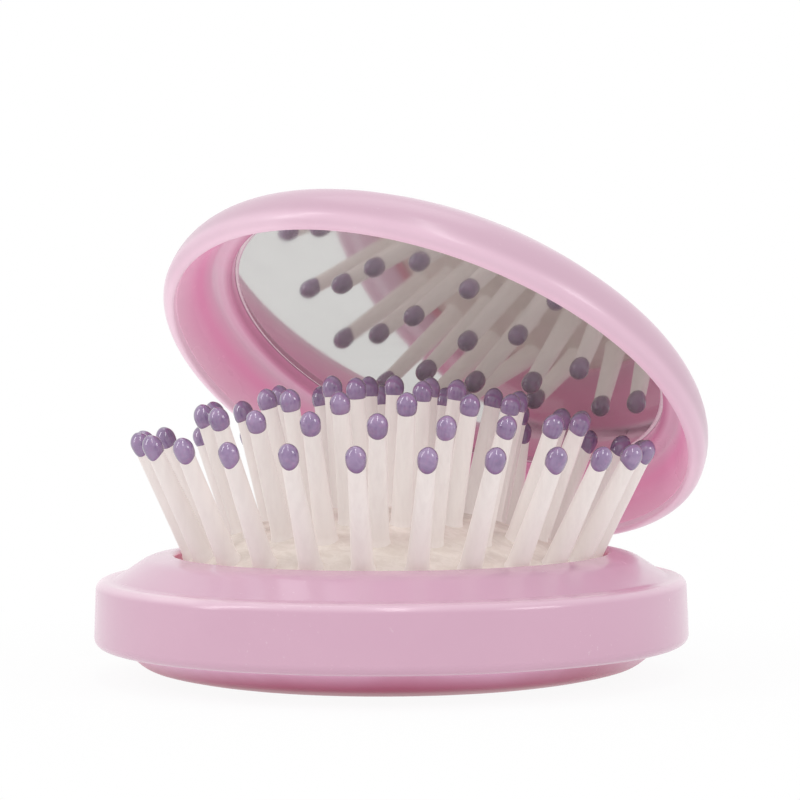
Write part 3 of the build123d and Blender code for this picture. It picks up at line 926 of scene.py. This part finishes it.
def make_cushion(feet):
    """The domed rubber and its flange: uneven between the pins, and drawn up a little round each of them."""
    bm = bmesh.new()
    grid = [[bm.verts.new((0, 0, (cushion_centre_z + CUSHION_R) * MM))]]
    for ring in range(1, CUSHION_RINGS + 1):
        radius = cushion_edge_r * ring / CUSHION_RINGS
        height = cushion_centre_z + math.sqrt(CUSHION_R**2 - radius**2)
        grid.append([bm.verts.new(spot) for spot in circle_points(radius, height, CUSHION_STEPS)])
    for a, b in zip(grid[1], grid[1][1:] + grid[1][:1]):
        bm.faces.new((grid[0][0], a, b))
    for low, high in zip(grid[1:], grid[2:]):
        bridge(bm, low, high)
    for vert in bm.verts:
        spot = vert.co / MM
        inside = 1 - (spot.xy.length / cushion_edge_r) ** 8
        lean = (cushion_lean @ vert.co).z - vert.co.z
        near = min((vert.co.xy - foot.xy).length for foot in feet) / MM
        drawn_up = math.exp(-((max(near - PIN_ROOT_R, 0) / DRAWN_UP_RUN) ** 2)) * DRAWN_UP
        sag = noise.fractal(spot * 0.3, 0.9, 2.1, 4) * CUSHION_SAG
        vert.co.z += (lean + (CUSHION_LIFT + drawn_up + sag) * MM) * inside
    rim_r = skirt_in_r - 0.3
    roof_z = cushion_centre_z + CUSHION_R - 2.0
    flange_z = ledge_z - CUSHION_FLANGE
    under = [(rim_r, ledge_z - 0.12), (rim_r, flange_z), (cushion_edge_r - 1.2, flange_z)]
    under.append((cushion_edge_r * 0.25, roof_z))
    last = grid[-1]
    for radius, height in under:
        ring = [bm.verts.new(spot) for spot in circle_points(radius, height, CUSHION_STEPS)]
        bridge(bm, last, ring)
        last = ring
    bm.faces.new(last)
    cushion = finish_mesh(bm, "air_cushion")
    dress(cushion, "pad", rubber, "cushion_rubber", "cushion_pad")
    return cushion


# ---------------------------------------------------------------------------------------------------------
# Lid
# ---------------------------------------------------------------------------------------------------------


def make_lid_shell():
    bed_z = mirror_z + MIRROR_GLASS + MIRROR_BED
    slope_z = lid_lip_z + LID_CREST + LID_SLOPE_RUN * math.tan(LID_SLOPE)
    shell = turned(
        "lid_cup",
        [
            (lid_in_r, lid_lip_z + 1.0),
            (lid_in_r, lid_lip_z, 0.3),
            (lid_r, lid_lip_z, LID_LIP_ROUND),
            (lid_r, lid_lip_z + LID_CREST, LID_CREST_ROUND),
            (lid_r - LID_SLOPE_RUN, slope_z, LID_SLOPE_ROUND),
            (LID_FLAT_R, lid_top_z, LID_FLAT_ROUND),
            (0.0, lid_top_z),
            (0.0, bed_z),
            (mirror_r + MIRROR_BED, bed_z),
            (lid_in_r, lid_lip_z + LID_CREST),
        ],
    )
    dress_lid_piece(shell, lid_pink, "pink_plastic", "lid_shell")


def make_lid_arm():
    """The lid's knuckle and the arm that joins it to the wall."""
    wall_y = lid_r - LID_LIP / 2
    root_z = lid_lip_z + LID_CREST * 0.7
    outline = [
        (wall_y, lid_lip_z + LID_LIP / 2),
        (hinge_y - KNUCKLE_R / 2, hinge_z + KNUCKLE_R / 2),
        (hinge_y + KNUCKLE_R * 0.8, hinge_z + KNUCKLE_R * 0.6),
        (lid_r, root_z),
        (wall_y, root_z),
    ]
    half = LID_KNUCKLE / 2
    arm = along_hinge("lid_arm", outline, -half, half)
    combine(arm, along_hinge("barrel", hinge_circle(KNUCKLE_R), -half, half), "UNION")
    bore = along_hinge("bore", hinge_circle(WIRE_R + WIRE_FIT), -half - 1, half + 1)
    combine(arm, bore, "DIFFERENCE")
    dress_lid_piece(soften(arm, ARM_EDGE), lid_pink, "pink_plastic", "lid_shell")


def make_mirror_lining():
    """The lid's inner ring: a concave wall from the lip, a soft ridge, and a step down to the mirror."""
    lining = turned(
        "mirror_lining",
        [
            (lining_in_r - 0.07, mirror_z + 0.02),
            (lining_in_r, ridge_z, 0.4),
            (lining_in_r + RIDGE_WIDTH, ridge_z, RIDGE_ROUND),
            (lid_in_r - 1.0, lid_lip_z + WALL_LIFT, 3.0),
            (lid_in_r - 0.1, lid_lip_z + LINING_LIFT),
            (lid_in_r, lid_lip_z + LINING_LIFT),
            (lid_in_r, lid_lip_z + LID_CREST - 0.5),
            (lining_in_r + 0.6, mirror_z + 0.02),
        ],
    )
    dress_lid_piece(lining, lining_pink, "deep_pink_plastic", "mirror_frame")


def make_mirror():
    """The mirror's glass: its silvered face, and its ground edge as a narrow ring of its own."""
    face_r = mirror_r - MIRROR_BEVEL
    back_z = mirror_z + MIRROR_GLASS
    face = turned("mirror_face", [(0.0, mirror_z), (face_r, mirror_z), (face_r, back_z), (0.0, back_z)])
    edge = turned(
        "mirror_edge",
        [(face_r, mirror_z - 0.01), (mirror_r, mirror_z + 0.15), (mirror_r, back_z), (face_r, back_z)],
    )
    dress_lid_piece(face, silver, "mirror_glass", "mirror_glass")
    dress_lid_piece(edge, ground_edge, "mirror_glass", "mirror_glass")


# ---------------------------------------------------------------------------------------------------------
# Finishes
# ---------------------------------------------------------------------------------------------------------

MILKY_PINK = srgb(203, 163, 183)
MILKY_SHADE = srgb(197, 155, 177)
# Painted highlight along the ring's top edge
MILKY_PAINTED_HIGHLIGHT = srgb(224, 194, 208)
# Painted shade for the shoulder under the lid
SHADED_PINK = srgb(210, 112, 154)
# Painted shade inside the opening
OPENING_PAINTED_SHADE = srgb(216, 122, 152)
LID_PINK = srgb(201, 167, 184)
LID_SHADE = srgb(197, 160, 179)
# Painted light on the lid's lip
LID_LIP_PAINTED_LIGHT = srgb(213, 182, 197)
COVER_PINK = srgb(222, 178, 204)
# Painted shade low on the cover, also the cover's cloud tone
COVER_PAINTED_SHADE_AND_CLOUD = srgb(166, 54, 90)
# Painted shade in the groove, painted light on the ridge and the wall's edge
GROOVE_PAINTED_SHADE = srgb(180, 120, 148)
RIDGE_PAINTED_LIGHT = srgb(208, 172, 190)
WALL_PINK = srgb(220, 146, 182)
WALL_EDGE_PAINTED_LIGHT = srgb(226, 188, 206)
CUSHION_COLOUR = srgb(223, 214, 206)
CUSHION_SHADE = srgb(215, 205, 196)
CUSHION_DUST = srgb(202, 190, 180)
PIN_COLOUR = srgb(203, 197, 193)
PIN_SHADE = srgb(192, 184, 181)
PIN_WARM = srgb(203, 194, 190)
# Painted shade low on the pins
PIN_ROOT_PAINTED_SHADE = srgb(194, 184, 179)
# Painted glow of the pins
PIN_PAINTED_GLOW = srgb(228, 217, 213)
TIP_DARK = srgb(120, 96, 136)
TIP_COLOUR = srgb(144, 118, 158)
TIP_LIGHT = srgb(166, 142, 178)
TIP_RED = srgb(166, 118, 158)
# Painted shade at the tips' rims
TIP_RIM_PAINTED_SHADE = srgb(92, 70, 110)
SILVER = srgb(213, 213, 211)
SILVER_HAZE = srgb(210, 210, 208)
SILVER_DUST = srgb(184, 182, 180)
EDGE_PALE = srgb(232, 226, 228)
EDGE_DARK = srgb(200, 180, 190)
STEEL = srgb(188, 188, 190)
STEEL_TARNISH = srgb(160, 156, 152)
FOAM_WHITE = srgb(238, 238, 234)
FOAM_CELL = srgb(206, 206, 200)
DUST = srgb(240, 236, 236)

moulded_surface = moulded_surface_group()
milky_pink = base_plastic()
lid_pink = lid_plastic()
cover_pink = cover_plastic()
lining_pink = lining_plastic()
rubber = cushion_rubber()
nylon = pin_nylon()
lacquer = tip_lacquer()
silver = mirror_silver()
ground_edge = glass_edge()
steel = hinge_steel()
foam = glue_foam()

# ---------------------------------------------------------------------------------------------------------
# The brush
# ---------------------------------------------------------------------------------------------------------

VIEW_TURN = math.radians(33.8)  # the camera's turn round the brush, from looking along +Y
VIEW_PITCH = math.radians(2.36)  # how far it looks down
VIEW_ROLL = math.radians(0.35)
VIEW_LENS = 160.3
VIEW_SIDEWAYS = 1.09 * MM
VIEW_DISTANCE = 390 * MM
VIEW_HEIGHT = 46.22 * MM
right = Vector((math.cos(VIEW_TURN), math.sin(VIEW_TURN), 0))
away = Vector((-math.sin(VIEW_TURN), math.cos(VIEW_TURN), 0))
up = Vector((0, 0, 1))

# The half-closed lid leans on the bristles beside the hinge, so the cushion sits a little low there
CUSHION_PIVOT_Z = 12.3
CUSHION_LEAN_ACROSS = math.radians(1.45)
CUSHION_LEAN_BACK = math.radians(-0.7)
cushion_pivot = Matrix.Translation((0, 0, CUSHION_PIVOT_Z * MM))
cushion_lean = (
    cushion_pivot
    @ Matrix.Rotation(CUSHION_LEAN_ACROSS, 4, away)
    @ Matrix.Rotation(CUSHION_LEAN_BACK, 4, right)
    @ cushion_pivot.inverted()
)

make_base_ring()
make_hinge_lugs()
make_bottom_cover()
make_push_button()
make_hinge_wire()
make_lid_shell()
make_lid_arm()
make_mirror_lining()
make_mirror()
for plain_node, finish in (("pad_carrier", milky_pink), ("mirror_glue_pad", foam)):
    frame["nodes"][plain_node].data.materials.clear()
    frame["nodes"][plain_node].data.materials.append(finish)

soft_pieces, feet = [], []
for label in ("centre", "inner", "second", "third", "outer"):
    axes = pin_axes(f"pins_{label}")
    feet += [foot for foot, _ in axes]
    soft_pieces += [make_pins(label, axes), make_tips(label, axes)]
soft_pieces.append(make_cushion(feet))
for piece in soft_pieces:
    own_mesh(piece)

# ---------------------------------------------------------------------------------------------------------
# Floor, light and camera
# ---------------------------------------------------------------------------------------------------------


def seen_directly(w):
    """1 for what the camera sees, also in a reflection or through glass."""
    rays = w.node("ShaderNodeLightPath")
    seen = w.math("MAXIMUM", rays.outputs["Is Camera Ray"], rays.outputs["Is Glossy Ray"])
    return w.math("MAXIMUM", seen, rays.outputs["Is Transmission Ray"])


def white_floor():
    """A white floor that keeps the brush's soft shadow and runs out into the white round it."""
    material, w, shader = new_material("white_floor")
    where = w.place()
    fibre = w.noise(where, 900.0, 3.0, 0.6)
    tone = w.ramp(fibre, [(0.3, (0.9, 0.9, 0.9, 1)), (0.7, (0.93, 0.93, 0.93, 1))])
    w.feed(shader.inputs["Base Color"], tone)
    shader.inputs["Roughness"].default_value = 0.9
    shader.inputs["Specular IOR Level"].default_value = 0.0
    glow = w.node("ShaderNodeEmission")
    radius, _ = w.radius_and_height(where)
    glowing = w.span(radius, 40.0, 90.0, 0.93, 1.0)
    blend = w.node("ShaderNodeMixShader")
    w.feed(blend.inputs["Fac"], w.math("MULTIPLY", seen_directly(w), glowing))
    w.feed(blend.inputs[1], shader.outputs["BSDF"])
    w.feed(blend.inputs[2], glow.outputs["Emission"])
    w.feed(material.node_tree.nodes["Material Output"].inputs["Surface"], blend.outputs["Shader"])
    bm = bmesh.new()
    bmesh.ops.create_grid(bm, x_segments=8, y_segments=8, size=3.0)
    floor = finish_mesh(bm, "studio_floor")
    floor.location.z = -0.02 * MM
    floor.data.materials.append(material)


def white_world(level):
    """White all round: full white where it is seen, and a plain level where it only lights."""
    world = bpy.data.worlds.new("studio_air")
    scene.world = world
    world.use_nodes = True
    w = Wiring(world.node_tree)
    background = world.node_tree.nodes["Background"]
    background.inputs["Color"].default_value = (1, 1, 1, 1)
    w.feed(background.inputs["Strength"], w.span(seen_directly(w), 0.0, 1.0, level, 1.0))


def soft_lamp(name, sideways, back, height, width, tall, watts):
    """A softbox placed by the camera's own directions, in metres."""
    data = bpy.data.lights.new(name, "AREA")
    data.shape = "RECTANGLE"
    data.size = width
    data.size_y = tall
    data.energy = watts
    lamp = bpy.data.objects.new(name, data)
    scene.collection.objects.link(lamp)
    lamp.location = right * sideways + away * back + up * height
    lamp.rotation_euler = (Vector((0, 0, 0.025)) - lamp.location).to_track_quat("-Z", "Y").to_euler()


def studio_camera():
    data = bpy.data.cameras.new("studio_camera")
    camera = bpy.data.objects.new("studio_camera", data)
    scene.collection.objects.link(camera)
    data.sensor_width = 36.0
    data.lens = VIEW_LENS
    data.clip_start = 0.01
    forward = away * math.cos(VIEW_PITCH) - up * math.sin(VIEW_PITCH)
    level_up = right.cross(forward)
    side = right * math.cos(VIEW_ROLL) - level_up * math.sin(VIEW_ROLL)
    upright = right * math.sin(VIEW_ROLL) + level_up * math.cos(VIEW_ROLL)
    turn = Matrix((side, upright, -forward)).transposed().to_4x4()
    spot = right * VIEW_SIDEWAYS - away * VIEW_DISTANCE + up * VIEW_HEIGHT
    camera.matrix_world = Matrix.Translation(spot) @ turn
    scene.camera = camera


white_floor()
white_world(0.7)
soft_lamp("strip_left", -0.7, -0.2, 0.44, 0.1, 0.7, 1.5)
soft_lamp("front_top", 0.02, -0.48, 0.72, 0.09, 0.7, 1.3)
soft_lamp("side_right", 0.68, -0.42, 0.34, 0.3, 0.25, 1.1)
soft_lamp("top_back", 0.0, 0.3, 0.85, 0.6, 0.4, 0.7)
studio_camera()

scene.view_settings.view_transform = "Standard"
